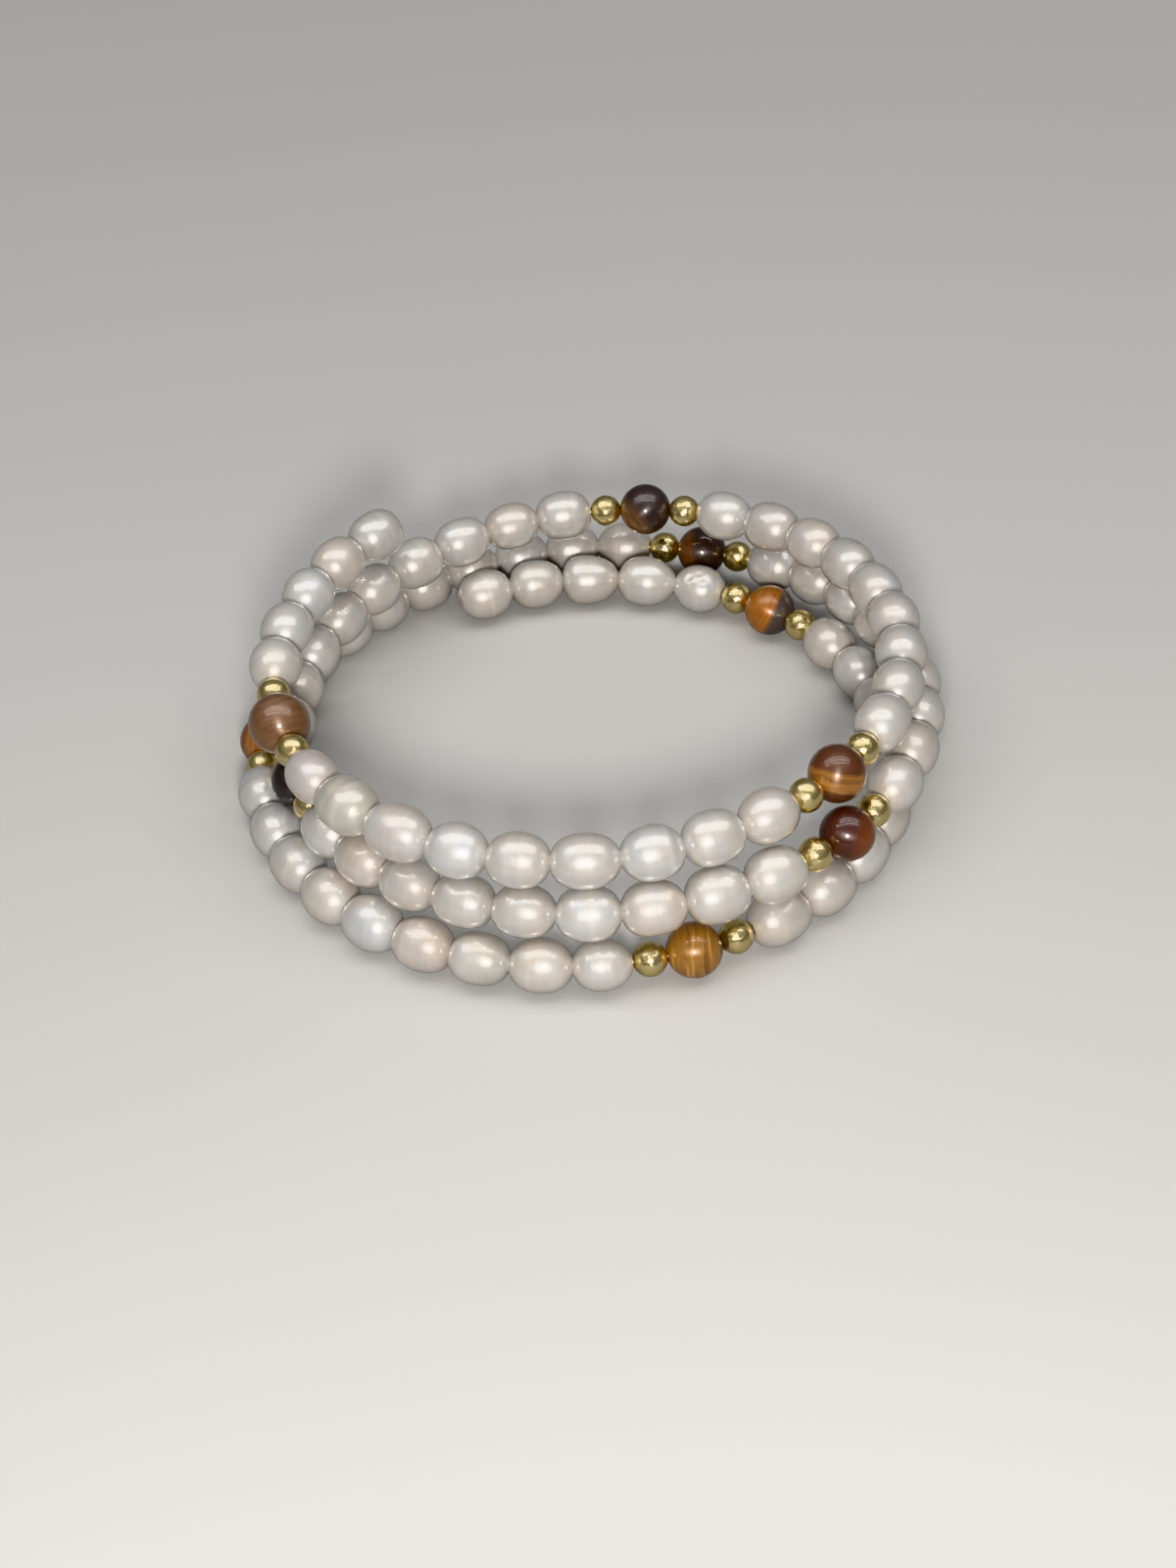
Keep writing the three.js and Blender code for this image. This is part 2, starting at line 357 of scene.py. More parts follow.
def pearl_profile(diameter, length, fullness, blind):
    """Rings of one pearl: distance along, radius, and how much of a ring is skin, from 0
    in the bore to 1 outside. The skin is a rounded oval: radius over half the diameter,
    to a power, plus distance over reach, to the same power, make one. Rings stand at even
    angles, so that they crowd at the ends where the outline turns. blind is the side that
    isn't drilled through: -1, 1 or 0 for none."""
    half = length / 2 - END_TRIM
    reach = half / (1 - (END_RADIUS / (diameter / 2)) ** fullness) ** (1 / fullness)
    along = np.sin(np.radians(np.linspace(-90, 90, PEARL_RINGS))) * (half - RIM / 3)
    radius = diameter / 2 * (1 - np.abs(along / reach) ** fullness) ** (1 / fullness)
    turn = np.radians([30, 60, 90])
    lip_along = half - RIM / 3 * (1 - np.sin(turn))
    lip_radius = radius[-1] - RIM * (1 - np.cos(turn)) / 2
    along = np.concatenate([-lip_along[::-1], along, lip_along])
    radius = np.concatenate([lip_radius[::-1], radius, lip_radius])
    share = np.clip((radius - HOLE) / (END_RADIUS - HOLE) - 0.4, 0, 1)

    hole_end = np.array([half, half - RIM / 2])
    hole_radius = np.array([HOLE + RIM / 2, HOLE])
    depth = WIRE_INSET - 2 * BEAD_GAP
    if blind > 0:  # from the pole in the bore, out of the hole, over the skin to the end
        hole_along = np.concatenate([[-half + depth], -hole_end[::-1]])
        hole_radius = np.concatenate([[HOLE], hole_radius[::-1]])
        rings = [hole_along, along], [hole_radius, radius], [np.zeros(3), share]
    elif blind < 0:  # the same the other way: over the skin and back in at the far end
        hole_along = np.concatenate([hole_end, [half - depth]])
        hole_radius = np.concatenate([hole_radius, [HOLE]])
        rings = [along, hole_along], [radius, hole_radius], [share, np.zeros(3)]
    else:
        hole_along = np.concatenate([hole_end, [0], -hole_end[::-1]])
        hole_radius = np.concatenate([hole_radius, [HOLE], hole_radius[::-1]])
        rings = [along, hole_along], [radius, hole_radius], [share, np.zeros(5)]
    return [np.concatenate(blocks) for blocks in rings]


along, radius, share = pearl_profile(PEARL_DIAMETER, 6.7, 2.2, 0)
print("a pearl has %d rings, and is %.2f mm across" % (len(along), 2 * radius.max()))

# %% Growth: what makes each pearl its own
rng = np.random.default_rng(7)

TAPERED = {  # (run, pearl): how much slimmer the end towards the next bead is
    (2, 1): -0.05, (2, 2): 0.03, (2, 3): -0.03, (10, 2): -0.14, (10, 3): -0.20,
    (1, 1): 0.05, (8, 9): 0.06,
}
PITS = {  # (run, pearl): place along from -1 to 1, degrees round from outward, width, depth
    (10, 1): ((0.25, 120, 0.16, 0.06), (-0.10, 105, 0.14, 0.05), (-0.35, 125, 0.13, 0.045),
              (0.05, 140, 0.10, 0.03)),
    (2, 2): ((-0.45, 45, 0.22, 0.05), (0.10, 75, 0.12, 0.025)),
    (3, 1): ((0.2, 150, 0.12, 0.03),),
    (1, 3): ((-0.3, 60, 0.12, 0.02),),
    (6, 8): ((0.3, 40, 0.12, 0.02),),
}
RINGED = {(2, 2): 2.6, (3, 6): 1.8, (2, 3): 1.2, (5, 7): 1.5, (8, 8): 1.6}


def grow(pearl, along, radius, share):
    """The radius of every grid point of one pearl, (rings, steps). The plain radius is
    multiplied by one plus the sum of: a slope along the pearl, an oval section, two slow
    swellings, a few narrow rings that wander a little as they go round, and round pits."""
    key = (pearl["run"], pearl["number"])
    angle = np.linspace(0, 2 * np.pi, PEARL_STEPS, endpoint=False)[None, :]
    side = (along / (pearl["length"] / 2))[:, None]
    phase = rng.uniform(0, 2 * np.pi, 6)
    taper = TAPERED.get(key, rng.normal(0, 0.028))
    form = -taper * side * (0.5 + 0.5 * np.abs(side))
    form = form + rng.uniform(0.002, 0.012) * np.cos(2 * (angle - phase[0]))
    form = form + rng.uniform(0.002, 0.009) * np.sin(angle + phase[1]) * np.sin(3 * side + phase[2])
    form = form + rng.uniform(0.001, 0.005) * np.sin(3 * angle + phase[3]) * np.cos(4 * side)

    strength = RINGED.get(key, 1.0)
    for _ in range(rng.integers(3, 7)):
        where = rng.uniform(-0.85, 0.85) + 0.04 * np.sin(angle + rng.uniform(0, 2 * np.pi))
        width = rng.uniform(0.03, 0.09)
        depth = strength * rng.uniform(0.0015, 0.0050) * rng.choice([-1, 1])
        form = form + depth * np.exp(-(((side - where) / width) ** 2))

    stray = (rng.uniform(-0.5, 0.5), rng.uniform(0, 360), rng.uniform(0.1, 0.16), 0.022)
    pits = PITS.get(key, (stray,) if rng.random() < 0.2 else ())
    for where, facing, width, depth in pits:
        across = 2 * np.sin((angle - np.radians(facing)) / 2)
        form = form - depth * np.exp(-(((side - where) ** 2 + across**2) / width**2))
    return radius[:, None] * (1 + form * share[:, None])


# %% [markdown]
# ## Two things every shader here needs
#
# A pattern has to follow its own bead: growth rings circle the thread, and the grain of a
# stone runs straight through the ball however the string bends. So each mesh carries its
# points' places in the bead's own frame, in millimetres, and the materials read those. The
# other shared effect is handling wear: fine scuffs that change the gloss. It is a node
# group, so that gold, stone and pearl each take it at their own strength.

# %% Helpers for node trees


def add_node(tree, kind, **settings):
    """A new node in a tree, with its properties set, and values for its input sockets
    given as a dictionary under the name inputs."""
    node = tree.nodes.new(kind)
    values = settings.pop("inputs", {})
    for name, value in settings.items():
        setattr(node, name, value)
    for name, value in values.items():
        node.inputs[name].default_value = value
    return node


def read_value(tree, name):
    """The node that reads a value kept on the mesh's points."""
    return add_node(tree, "ShaderNodeAttribute", attribute_name=name)


def new_group(name, inputs, outputs):
    """An empty node group with named sockets. Each input is (name, kind, default)."""
    tree = bpy.data.node_groups.new(name, "ShaderNodeTree")
    for label, kind, default in inputs:
        socket = tree.interface.new_socket(label, in_out="INPUT", socket_type=kind)
        socket.default_value = default
    for label, kind in outputs:
        tree.interface.new_socket(label, in_out="OUTPUT", socket_type=kind)
    return tree, tree.nodes.new("NodeGroupInput"), tree.nodes.new("NodeGroupOutput")


def new_material(name):
    """A material with its Principled shader."""
    material = bpy.data.materials.new(name)
    material.use_nodes = True
    tree = material.node_tree
    shader = next(node for node in tree.nodes if node.type == "BSDF_PRINCIPLED")
    return material, tree, shader


def mix_colours(tree, blend, factor, first, second):
    """A Mix node for colours. Each of the three is a socket or a plain value."""
    node = add_node(tree, "ShaderNodeMix", data_type="RGBA", blend_type=blend)
    for socket, value in ((node.inputs[0], factor), (node.inputs[6], first),
                          (node.inputs[7], second)):
        if isinstance(value, bpy.types.NodeSocket):
            tree.links.new(value, socket)
        else:
            socket.default_value = value
    return node.outputs[2]


def calculate(tree, operation, *values):
    """A Math node. Each value is a socket or a number."""
    node = add_node(tree, "ShaderNodeMath", operation=operation)
    for socket, value in zip(node.inputs, values):
        if isinstance(value, bpy.types.NodeSocket):
            tree.links.new(value, socket)
        else:
            socket.default_value = value
    return node.outputs[0]


def rescale(tree, value, low, high, to_low, to_high):
    """A Map Range node, clamped."""
    node = add_node(tree, "ShaderNodeMapRange", inputs={
        "From Min": low, "From Max": high, "To Min": to_low, "To Max": to_high})
    tree.links.new(value, node.inputs["Value"])
    return node.outputs["Result"]


def grey(tree, value):
    """A colour with the same value in all three channels."""
    node = add_node(tree, "ShaderNodeCombineColor")
    for channel in ("Red", "Green", "Blue"):
        tree.links.new(value, node.inputs[channel])
    return node.outputs[0]


print("helpers ready")

# %% The scuff group


def build_scuffs():
    """Fine handling marks. Place is where a point is on its bead, in mm, and Amount is how
    worn it is. Gloss comes out as a value to add to the roughness, and Height drives bump.
    The marks are two fine noises, one of them stretched into short scratches."""
    tree, given, result = new_group(
        "scuffs",
        [("Place", "NodeSocketVector", (0, 0, 0)), ("Amount", "NodeSocketFloat", 0.5)],
        [("Gloss", "NodeSocketFloat"), ("Height", "NodeSocketFloat")],
    )
    dull = add_node(tree, "ShaderNodeTexNoise", inputs={"Scale": 1.3, "Detail": 4.0,
                                                       "Roughness": 0.6})
    stretch = add_node(tree, "ShaderNodeMapping", inputs={"Scale": (9.0, 0.8, 2.5)})
    scratch = add_node(tree, "ShaderNodeTexNoise", inputs={"Scale": 1.6, "Detail": 2.0})
    tree.links.new(given.outputs["Place"], dull.inputs["Vector"])
    tree.links.new(given.outputs["Place"], stretch.inputs["Vector"])
    tree.links.new(stretch.outputs[0], scratch.inputs["Vector"])
    patches = rescale(tree, dull.outputs["Fac"], 0.42, 0.72, 0.0, 1.0)
    lines = rescale(tree, scratch.outputs["Fac"], 0.60, 0.72, 0.0, 1.0)
    both = calculate(tree, "ADD", patches, calculate(tree, "MULTIPLY", lines, 0.6))
    gloss = calculate(tree, "MULTIPLY", both, given.outputs["Amount"])
    tree.links.new(gloss, result.inputs["Gloss"])
    deep = calculate(tree, "MULTIPLY", lines, given.outputs["Amount"])
    tree.links.new(deep, result.inputs["Height"])
    return tree


scuffs = build_scuffs()


def use_scuffs(tree, place, amount):
    """The scuff group in a material, at its own strength."""
    node = add_node(tree, "ShaderNodeGroup", node_tree=scuffs, inputs={"Amount": amount})
    tree.links.new(place, node.inputs["Place"])
    return node


# %% [markdown]
# ## Nacre
#
# Nacre is hundreds of clear films over a white core. The smooth top film mirrors lamps
# sharply, the films under it throw the same light back as a satin glow, and what gets past
# them scatters and fills the shaded side. So the shader has three layers: a body with a
# little scattering, a broad gloss that is partly metal-like, because stacked films return
# far more light than one clear surface does, and a thin clear coat for the sharp lines.

# %% The nacre material
SCATTER_RADIUS = (1.0, 0.7, 0.45)  # red light travels furthest
SCATTER_SCALE = 0.6 * MM


def build_nacre():
    """Base colour: the colour kept on the pearl's skin, times slow cloudy patches and very
    faint lines round the pearl. Roughness: a satin value, plus lines and scuffs. Bump:
    hair-fine rings, which depend on the distance along the thread, and a soft unevenness."""
    material, tree, shader = new_material("nacre")
    place = read_value(tree, "bead_place").outputs["Vector"]
    tint = read_value(tree, "bead_tint").outputs["Color"]
    seed = read_value(tree, "bead_seed").outputs["Fac"]

    clouds = add_node(tree, "ShaderNodeTexNoise", noise_dimensions="4D",
                      inputs={"Scale": 0.42, "Detail": 3.0, "Distortion": 0.6})
    tree.links.new(place, clouds.inputs["Vector"])
    tree.links.new(seed, clouds.inputs["W"])
    cloud = clouds.outputs["Fac"]

    apart = add_node(tree, "ShaderNodeSeparateXYZ")
    tree.links.new(place, apart.inputs[0])
    wander = calculate(tree, "MULTIPLY", cloud, 0.7)
    across = add_node(tree, "ShaderNodeCombineXYZ")
    tree.links.new(calculate(tree, "ADD", apart.outputs["Y"], wander), across.inputs["X"])
    tree.links.new(calculate(tree, "MULTIPLY", seed, 7.31), across.inputs["Y"])
    rings = add_node(tree, "ShaderNodeTexNoise", noise_dimensions="2D",
                     inputs={"Scale": 1.1, "Detail": 3.0, "Roughness": 0.55})
    tree.links.new(across.outputs[0], rings.inputs["Vector"])
    ring = rings.outputs["Fac"]

    overtone = mix_colours(tree, "MIX", rescale(tree, cloud, 0.36, 0.66, 0, 1),
                           (1.0, 0.955, 0.90, 1), (0.965, 0.985, 1.0, 1))
    body = mix_colours(tree, "MULTIPLY", 1.0, tint, overtone)
    shade = grey(tree, rescale(tree, ring, 0.3, 0.7, 0.955, 1.02))
    tree.links.new(mix_colours(tree, "MULTIPLY", 1.0, body, shade), shader.inputs["Base Color"])

    worn = use_scuffs(tree, place, 0.04)
    satin = rescale(tree, ring, 0.3, 0.7, 0.285, 0.33)
    tree.links.new(calculate(tree, "ADD", satin, worn.outputs["Gloss"]),
                   shader.inputs["Roughness"])

    peel = add_node(tree, "ShaderNodeTexNoise", inputs={"Scale": 1.1, "Detail": 2.0})
    tree.links.new(place, peel.inputs["Vector"])
    relief = calculate(tree, "ADD", ring, calculate(tree, "MULTIPLY", peel.outputs["Fac"], 0.6))
    bump = add_node(tree, "ShaderNodeBump", inputs={"Strength": 0.45, "Distance": 0.05 * MM})
    tree.links.new(relief, bump.inputs["Height"])
    tree.links.new(bump.outputs[0], shader.inputs["Normal"])

    shader.inputs["Metallic"].default_value = 0.35
    shader.inputs["IOR"].default_value = 1.56
    shader.inputs["Subsurface Weight"].default_value = 0.3
    shader.inputs["Subsurface Radius"].default_value = SCATTER_RADIUS
    shader.inputs["Subsurface Scale"].default_value = SCATTER_SCALE
    shader.inputs["Coat Weight"].default_value = 1.0
    shader.inputs["Coat Roughness"].default_value = 0.08
    return material


nacre = build_nacre()
print("nacre nodes:", len(nacre.node_tree.nodes))

# %% [markdown]
# ## The colours of the pearls
#
# Graded pearls still differ. Most are cream, some lean to silver and some to champagne,
# and many carry one or two soft bands where the nacre grew at another pace. These colours
# belong to the single pearl, so they are worked out with its shape and kept on its points.
# Round the drill hole, where a pearl meets its neighbour, the colour is painted paler:
# a painted glow for the light that shines through the nacre at the neck.

# %% Pearl colours
CREAM = np.array([0.605, 0.578, 0.540])
SILVER = np.array([0.594, 0.594, 0.592])
CHAMPAGNE = np.array([0.605, 0.553, 0.508])
GREEN_GREY = np.array([0.464, 0.459, 0.362])
# A pale colour for real white bands in the nacre, and for the painted glow at the necks round the
# drill holes.
PALE_BAND_AND_NECK_GLOW = np.array([0.760, 0.735, 0.690])
NAMED_COLOURS = {  # (run, pearl): its main colour
    (2, 1): (0.589, 0.540, 0.513), (2, 2): (0.562, 0.553, 0.502), (2, 3): (0.594, 0.556, 0.524),
    (8, 1): (0.583, 0.589, 0.589), (8, 2): (0.583, 0.589, 0.585), (8, 5): (0.592, 0.594, 0.592),
    (8, 6): (0.605, 0.551, 0.513), (2, 4): (0.594, 0.592, 0.583), (4, 3): (0.589, 0.583, 0.572),
}
NAMED_BANDS = {  # (run, pearl): place along from -1 to 1, width, strength, colour
    (2, 2): ((-0.55, 0.14, 0.5, GREEN_GREY), (-0.1, 0.08, 0.3, GREEN_GREY),
             (0.2, 0.12, 0.5, PALE_BAND_AND_NECK_GLOW), (0.75, 0.2, 0.4, GREEN_GREY)),
    (8, 7): ((0.55, 0.35, 0.5, GREEN_GREY),),
    (2, 7): ((0.45, 0.10, 0.5, PALE_BAND_AND_NECK_GLOW),),
    (5, 6): ((0.1, 0.08, 0.45, PALE_BAND_AND_NECK_GLOW),),
    (10, 5): ((0.0, 0.07, 0.5, PALE_BAND_AND_NECK_GLOW),),
    (5, 5): ((-0.6, 0.25, 0.5, CHAMPAGNE), (0.6, 0.2, 0.4, CHAMPAGNE)),
}


def pearl_colours(pearl, own, share):
    """A colour for each grid point. The pearl's own colour lies between cream and silver
    or champagne. A band mixes in another colour by a bell curve over the distance along
    the pearl, and one side of the pearl is a little warmer than the other."""
    key = (pearl["run"], pearl["number"])
    lean = rng.uniform(-1, 1)
    other = SILVER if lean > 0 else CHAMPAGNE
    colour = (CREAM + (other - CREAM) * abs(lean) * 0.75) * rng.uniform(0.95, 1.04)
    colour = np.broadcast_to(np.array(NAMED_COLOURS.get(key, colour)), own.shape)
    side = own[..., 1:2] / (pearl["length"] / 2)
    stray = [(rng.uniform(-0.8, 0.8), rng.uniform(0.07, 0.25), rng.uniform(0.1, 0.4),
              (CHAMPAGNE, PALE_BAND_AND_NECK_GLOW, SILVER)[rng.integers(3)]) for _ in range(2)]
    for where, width, strength, band in NAMED_BANDS.get(key, stray):
        bend = 0.05 * np.sin(np.arctan2(own[..., 2:3], own[..., 0:1]) + where * 9)
        weight = strength * np.exp(-(((side - where - bend) / width) ** 2))
        colour = colour + (band - colour) * weight
    facing = rng.uniform(0, 2 * np.pi)
    blush = (own[..., 0:1] * np.cos(facing) + own[..., 2:3] * np.sin(facing)) / pearl["diameter"]
    colour = colour * (1 + blush * np.array([0.0, -0.03, -0.07]))
    # Painted glow: round the drill hole, where pearls meet, the colour is painted paler for the
    # light that shines through the nacre there.
    colour = colour + (PALE_BAND_AND_NECK_GLOW - colour) * 0.6 * (1 - share[:, None, None])
    return np.concatenate([colour, np.ones(colour.shape[:2] + (1,))], -1)


# %% Building the runs
for index, pearls in enumerate(runs, 1):
    parts = []
    for pearl in pearls:
        key = (pearl["run"], pearl["number"])
        blind = {(1, 1): -1, (len(RUNS), RUNS[-1][0]): 1}.get(key, 0)
        fullness = rng.uniform(2.05, 2.4)
        along, radius, share = pearl_profile(pearl["diameter"], pearl["length"], fullness, blind)
        own = round_points(grow(pearl, along, radius, share), along)
        colour = pearl_colours(pearl, own, share).reshape(-1, 4)
        points = place_along(own, pearl["centre"]).reshape(-1, 3)
        own = own.reshape(-1, 3)
        faces = [loop_faces(len(along), PEARL_STEPS)]
        if blind:
            poles = np.array([[0, along[0], 0], [0, along[-1], 0]])
            faces = capped_faces(len(along), PEARL_STEPS)
            points = np.vstack([points, frames_at(pearl["centre"] + poles[:, 1])[0]])
            own = np.vstack([own, poles])
            colour = np.vstack([colour, colour[[0, -1]]])
        values = dict(bead_place=own, bead_tint=colour, bead_seed=rng.uniform(0, 50))
        parts.append(dict(points=points, faces=faces, values=values))
    make_piece(f"pearls_{index:02d}", f"pearl_run_{index:02d}", nacre, parts)

# %% [markdown]
# ## Balls with a bore
#
# The stones and the gold beads are turned and polished, so they are true spheres with a
# hole. The rings stand at even angles from one edge of the hole to the other, and a small
# rounding takes the sharp edge off the hole before the grid runs back through the bore.

# %% The ball profile
HOLE_ROUND = 0.07


def ball_profile(diameter, rings):
    """Distance along and radius of each ring of a drilled ball. On the sphere they are the
    sine and cosine of the ring's angle times half the diameter."""
    reach = np.arccos((HOLE + HOLE_ROUND) / (diameter / 2))
    angle = np.linspace(-reach, reach, rings)
    along = diameter / 2 * np.sin(angle)
    radius = diameter / 2 * np.cos(angle)
    end = along[-1]
    lip = HOLE_ROUND * np.array([[0.35, -0.03], [0.85, -0.25]])
    lip_radius = radius[-1] - lip[:, 0]
    lip_along = end + lip[:, 1]
    bore_along = np.array([end * 0.85, 0.0, -end * 0.85])
    along = np.concatenate([along, lip_along, bore_along, -lip_along[::-1]])
    radius = np.concatenate([radius, lip_radius, np.full(3, HOLE), lip_radius[::-1]])
    return along, radius


along, radius = ball_profile(STANDARD_STONE, 48)
print("a stone is %.2f mm across and %.2f mm long" % (2 * radius.max(), np.ptp(along)))

# %% [markdown]
# ## Tiger's eye
#
# The stone is quartz that replaced bundles of parallel fibres. Polished, it shows bands of
# gold and brown that run straight through the ball, and a silky line of light lies across
# the fibres and moves as the ball is turned. The bands are colour. The silk is gloss: a
# metal-like share with a stretched highlight under a clear coat, and its thin bright lines
# are also a painted sheen, lifted into the base colour. Every ball was cut from a
# different piece, so each has its own two colours and its own direction of the bands.

# %% The nine stones
STONES = [  # across the bands; middle, half width and edge of the light zone; stripes; colours
    ((-0.24, 0.60, 0.75), 0.0, 3.0, 0.5, 0.12, (0.185, 0.100, 0.055), (0.12, 0.060, 0.032)),
    ((0.21, 0.39, 0.89), -0.10, 0.40, 0.22, 0.60, (0.31, 0.145, 0.042), (0.115, 0.046, 0.024)),
    ((-0.79, -0.35, -0.43), 1.35, 0.70, 0.90, 0.20, (0.20, 0.090, 0.022), (0.052, 0.036, 0.036)),
    ((0.70, 0.20, 0.68), 1.4, 0.60, 0.30, 0.35, (0.070, 0.062, 0.062), (0.034, 0.028, 0.028)),
    ((0.88, -0.19, -0.24), 1.3, 0.85, 0.70, 0.15, (0.20, 0.056, 0.014), (0.068, 0.024, 0.018)),
    ((-1.00, 0.04, 0.05), 1.35, 0.90, 0.40, 0.30, (0.155, 0.058, 0.020), (0.042, 0.025, 0.022)),
    ((-0.95, 0.10, 0.20), 0.7, 0.75, 0.35, 0.50, (0.26, 0.110, 0.035), (0.085, 0.034, 0.016)),
    ((1.00, -0.05, 0.02), -0.15, 0.95, 0.20, 0.60, (0.30, 0.145, 0.036), (0.100, 0.042, 0.014)),
    ((-0.87, 0.29, 0.36), 1.25, 1.40, 0.22, 0.25, (0.34, 0.125, 0.022), (0.092, 0.072, 0.066)),
]
GRAIN_SHIFT = 9.0  # mm between two stones in the noise, so that none repeats another


def build_tiger_eye():
    """Base colour: light where the place across the bands is within half a width of the
    zone's middle, dark beyond, with a soft edge. Stripes come from a noise that is drawn
    out along the bands: some darken the stone, and thin ones are a painted sheen that lifts
    the colour towards a brighter copy of the light colour. Fine grain runs the same way.
    Gloss: a silky, stretched highlight under a clear coat."""
    material, tree, shader = new_material("tigers_eye")
    place = read_value(tree, "stone_place").outputs["Vector"]
    zone = add_node(tree, "ShaderNodeSeparateXYZ")
    tree.links.new(read_value(tree, "stone_zone").outputs["Vector"], zone.inputs[0])
    middle, half, soft = (zone.outputs[axis] for axis in "XYZ")
    stripes = read_value(tree, "stone_stripes").outputs["Fac"]

    bend = add_node(tree, "ShaderNodeTexNoise", inputs={"Scale": 0.22, "Detail": 1.5})
    tree.links.new(place, bend.inputs["Vector"])
    bent = mix_colours(tree, "LINEAR_LIGHT", 0.45, place, bend.outputs["Color"])
    drawn_out = add_node(tree, "ShaderNodeMapping", inputs={"Scale": (1.5, 0.06, 0.10)})
    tree.links.new(bent, drawn_out.inputs["Vector"])
    bands = add_node(tree, "ShaderNodeTexNoise", inputs={"Scale": 1.0, "Detail": 2.5,
                                                         "Roughness": 0.5})
    tree.links.new(drawn_out.outputs[0], bands.inputs["Vector"])
    band = bands.outputs["Fac"]
    combed = add_node(tree, "ShaderNodeMapping", inputs={"Scale": (7.0, 0.35, 0.5)})
    tree.links.new(bent, combed.inputs["Vector"])
    grain = add_node(tree, "ShaderNodeTexNoise", inputs={"Scale": 1.6, "Detail": 3.0})
    tree.links.new(combed.outputs[0], grain.inputs["Vector"])

    apart = add_node(tree, "ShaderNodeSeparateXYZ")
    tree.links.new(bent, apart.inputs[0])
    across = calculate(tree, "DIVIDE", apart.outputs["X"], STANDARD_STONE / 2)
    off_middle = calculate(tree, "ABSOLUTE", calculate(tree, "SUBTRACT", across, middle))
    inside = calculate(tree, "SUBTRACT", half, off_middle)
    light_share = calculate(tree, "ADD", calculate(tree, "DIVIDE", inside, soft), 0.5)
    dark_stripe = calculate(tree, "MULTIPLY", rescale(tree, band, 0.46, 0.34, 0.0, 1.0), stripes)
    light_share = calculate(tree, "SUBTRACT", rescale(tree, light_share, 0, 1, 0, 1), dark_stripe)
    light = read_value(tree, "stone_light").outputs["Color"]
    dark = read_value(tree, "stone_dark").outputs["Color"]
    body = mix_colours(tree, "MIX", rescale(tree, light_share, 0, 1, 0, 1), dark, light)
    # Painted sheen: thin stripes lift the base colour towards a brighter copy of the light colour,
    # a painted highlight for the silky lines of the fibres.
    painted_sheen_line = calculate(tree, "MULTIPLY", rescale(tree, band, 0.55, 0.64, 0.0, 1.0), stripes)
    painted_silk_sheen = mix_colours(tree, "MULTIPLY", 1.0, light, (2.2, 2.5, 3.0, 1))
    body = mix_colours(tree, "MIX", calculate(tree, "MULTIPLY", painted_sheen_line, light_share),
                       body, painted_silk_sheen)
    fine = grey(tree, rescale(tree, grain.outputs["Fac"], 0.3, 0.7, 0.78, 1.18))
    tree.links.new(mix_colours(tree, "MULTIPLY", 1.0, body, fine), shader.inputs["Base Color"])

    worn = use_scuffs(tree, place, 0.05)
    tree.links.new(calculate(tree, "ADD", 0.36, worn.outputs["Gloss"]),
                   shader.inputs["Roughness"])
    tree.links.new(read_value(tree, "stone_across").outputs["Vector"], shader.inputs["Tangent"])
    shader.inputs["Metallic"].default_value = 0.22
    shader.inputs["Anisotropic"].default_value = 0.6
    shader.inputs["IOR"].default_value = 1.54
    shader.inputs["Coat Weight"].default_value = 0.9
    shader.inputs["Coat Roughness"].default_value = 0.03
    return material


tigers_eye = build_tiger_eye()


def frame_across(across):
    """Three unit vectors as rows: across the bands, and two along them."""
    first = np.array(across) / np.linalg.norm(across)
    second = np.cross(first, (0, 0, 1) if abs(first[2]) < 0.9 else (1, 0, 0))
    second /= np.linalg.norm(second)
    return np.stack([first, second, np.cross(first, second)])


# %% Building the stones
STONE_STEPS = 96
STONE_RINGS = 48

for index, (centre, diameter, row) in enumerate(zip(stones, STONE_DIAMETERS, STONES), 1):
    across, middle, half, soft, stripes, light, dark = row
    along, radius = ball_profile(diameter, STONE_RINGS)
    own = round_points(np.tile(radius[:, None], (1, STONE_STEPS)), along)
    points = place_straight(own, centre).reshape(-1, 3)
    grain = frame_across(across)
    values = dict(
        stone_place=(points - frames_at(centre)[0]) @ grain.T * STANDARD_STONE / diameter
        + (0, 0, GRAIN_SHIFT * index),
        stone_across=grain[0], stone_zone=(middle, half, soft), stone_stripes=stripes,
        stone_light=np.append(light, 1), stone_dark=np.append(dark, 1))
    part = dict(points=points, faces=[loop_faces(len(along), STONE_STEPS)], values=values)
    make_piece(f"tigers_eye_ball_{index}", f"tiger_eye_{index}", tigers_eye, [part])

# %% [markdown]
# ## Gold beads
#
# The spacers are plated brass: pale yellow, mirror bright and a little dented, so that
# lamps break up into small sparks on them. A slow, very low relief in the mesh bends the
# reflections, and scuffs roughen them in patches.

# %% The gold material


